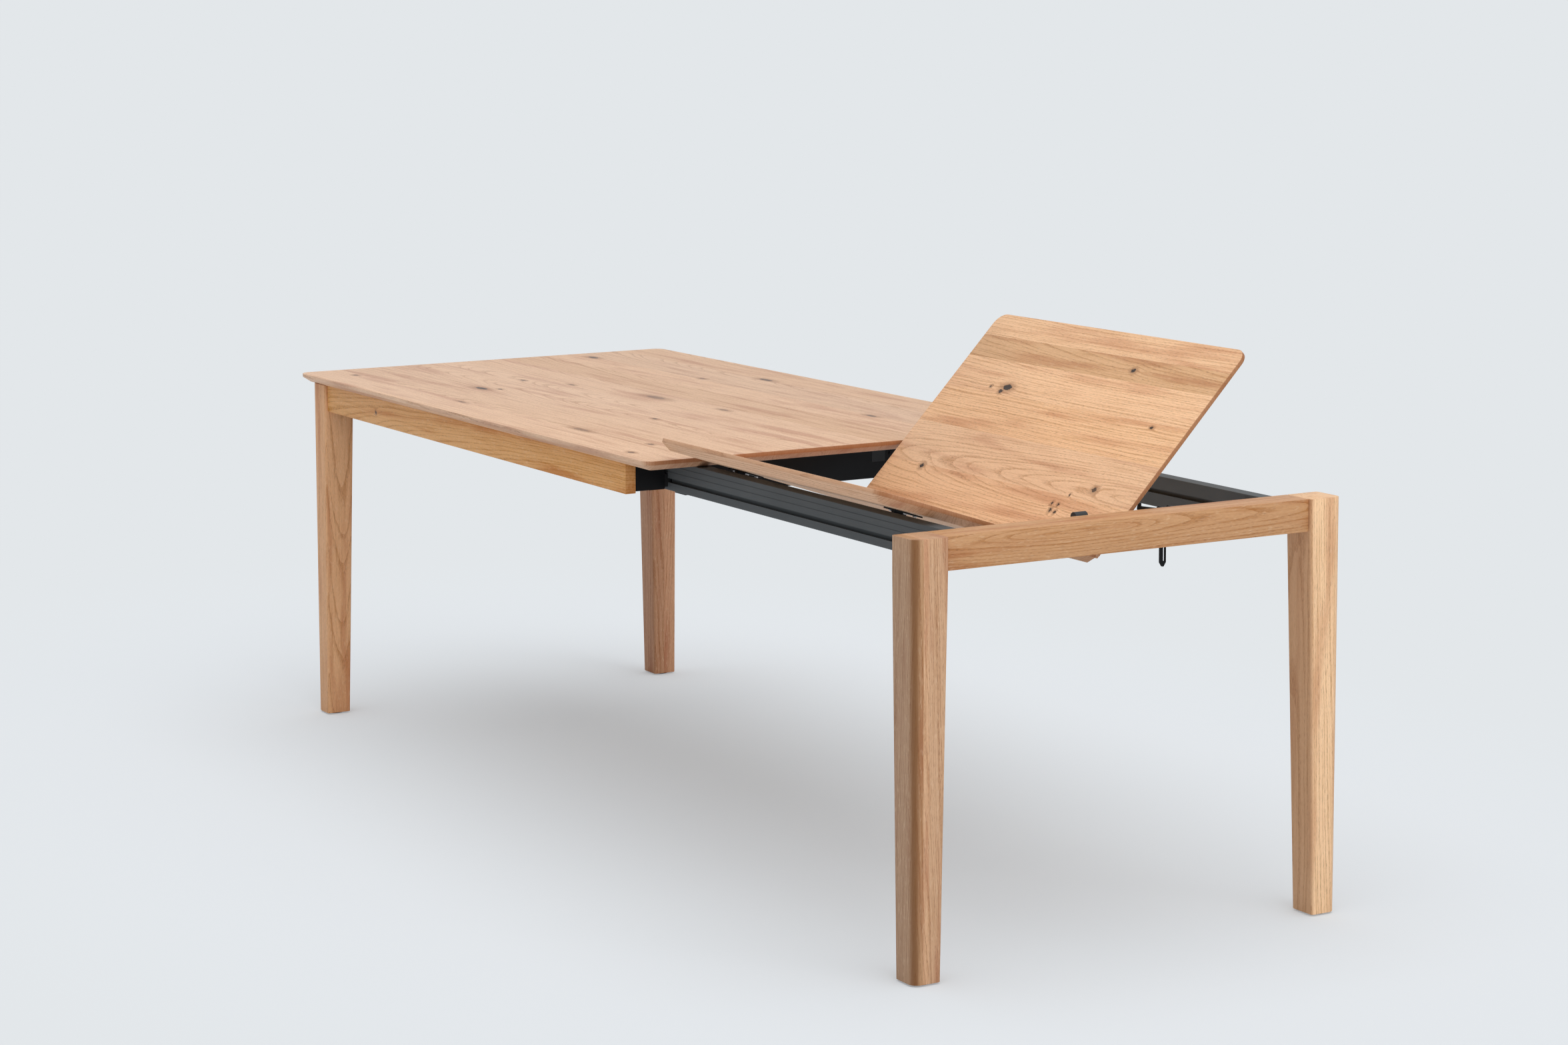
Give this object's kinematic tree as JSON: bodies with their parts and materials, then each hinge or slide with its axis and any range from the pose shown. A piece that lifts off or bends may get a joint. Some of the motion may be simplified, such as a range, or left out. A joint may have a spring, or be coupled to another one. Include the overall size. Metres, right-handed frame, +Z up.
{
  "type": "draw leaf table",
  "caption": "Oak extending dining table, opened: end frame drawn out on two rails, with a folding butterfly leaf partly raised in the gap.",
  "frame": {"origin": "on the floor, in the middle of the opened table's length and width", "axes": "+X along the table towards the sliding end frame, +Y across, +Z up"},
  "size_m": [2.465, 0.9, 0.9777],
  "materials": {
    "oak": "oiled solid oak",
    "beech": "raw fluted dowel",
    "black_steel": "satin black powder coat",
    "black_aluminium": "black anodised extrusion",
    "nylon": "moulded black nylon",
    "rubber": "matt",
    "zinc_steel": "bright zinc plated",
    "brass": "turned brass"
  },
  "bodies": {
    "fixed_frame": {"table_top": "oak", "fixed_leg_near": "oak", "fixed_leg_far": "oak", "side_apron_near": "oak", "side_apron_far": "oak", "end_apron": "oak", "corner_plate_near": "zinc_steel", "corner_plate_far": "zinc_steel", "leg_bolts": "zinc_steel", "leg_nuts": "zinc_steel", "corner_plate_screws": "zinc_steel", "top_angles": "zinc_steel", "apron_bracket_near": "black_steel", "apron_bracket_far": "black_steel", "apron_screws": "zinc_steel", "fixed_rail_near": "black_steel", "fixed_rail_far": "black_steel", "fixed_rail_screws": "zinc_steel", "front_guide_shoe_near": "nylon", "front_guide_shoe_far": "nylon", "rear_guide_shoe_near": "nylon", "rear_guide_shoe_far": "nylon", "open_end_cross_beam": "black_steel", "inner_cross_beam": "black_steel", "cross_beam_screws": "black_steel", "top_keeper": "black_steel", "top_keeper_screws": "zinc_steel", "fixed_foot_glides": "nylon"},
    "end_frame": {"end_leg_near": "oak", "end_leg_far": "oak", "end_beam": "oak", "end_beam_dowels": "beech", "moving_rail_near": "black_aluminium", "moving_rail_far": "black_aluminium", "rail_stop_near": "nylon", "rail_stop_far": "nylon", "rail_bracket_near": "black_steel", "rail_bracket_far": "black_steel", "rail_bracket_screws": "zinc_steel", "end_foot_glides": "nylon", "lever_bracket": "black_steel", "end_beam_screws": "zinc_steel", "lever_pin": "zinc_steel", "bump_stop": "rubber"},
    "release_lever": {"release_lever": "black_steel", "lever_spring": "zinc_steel"},
    "leaf_carriage": {"leaf_carrier": "black_steel", "carrier_shoe_left": "nylon", "carrier_shoe_right": "nylon", "pivot_pins": "zinc_steel"},
    "leaf_near": {"leaf_board_near": "oak", "pivot_bracket_left": "black_steel", "pivot_bracket_right": "black_steel", "pivot_bracket_screws": "zinc_steel", "hinge_barrels_near": "brass", "hinge_links": "brass"},
    "leaf_far": {"leaf_board_far": "oak", "hinge_barrels_far": "brass", "leaf_keeper": "black_steel", "leaf_keeper_screws": "zinc_steel"}
  },
  "joints": [
    {"name": "end_frame_slide", "type": "slide", "parent": "fixed_frame", "child": "end_frame", "axis": [-1, 0, 0], "range_m": [0, 0.034]},
    {"name": "leaf_carriage_slide", "type": "slide", "parent": "end_frame", "child": "leaf_carriage", "axis": [1, 0, 0], "range_m": [0, 0.034]},
    {"name": "leaf_tilt", "type": "hinge", "parent": "leaf_carriage", "child": "leaf_near", "pos_m": [0.7475, -0.298, 0.70227], "axis": [1, 0, 0], "range_deg": [-32.6, 18.15]},
    {"name": "leaf_fold", "type": "hinge", "parent": "leaf_near", "child": "leaf_far", "pos_m": [0.7475, 0, 0.65454], "axis": [-1, 0, 0], "range_deg": [-114.87, 63.97], "deforming": ["hinge_links"]},
    {"name": "release_lever_pivot", "type": "hinge", "parent": "end_frame", "child": "release_lever", "pos_m": [1.1525, 0.114, 0.7225], "axis": [0, -1, 0], "range_deg": [0, 10], "stiffness_Nm_per_rad": 0.8, "springref_deg": -34.38, "deforming": ["lever_spring"]}
  ],
  "couplings": [
    {"joint": "leaf_carriage_slide", "follows": "end_frame_slide", "ratio": 1},
    {"joint": "leaf_fold", "follows": "leaf_tilt", "ratio": 3.522}
  ]
}
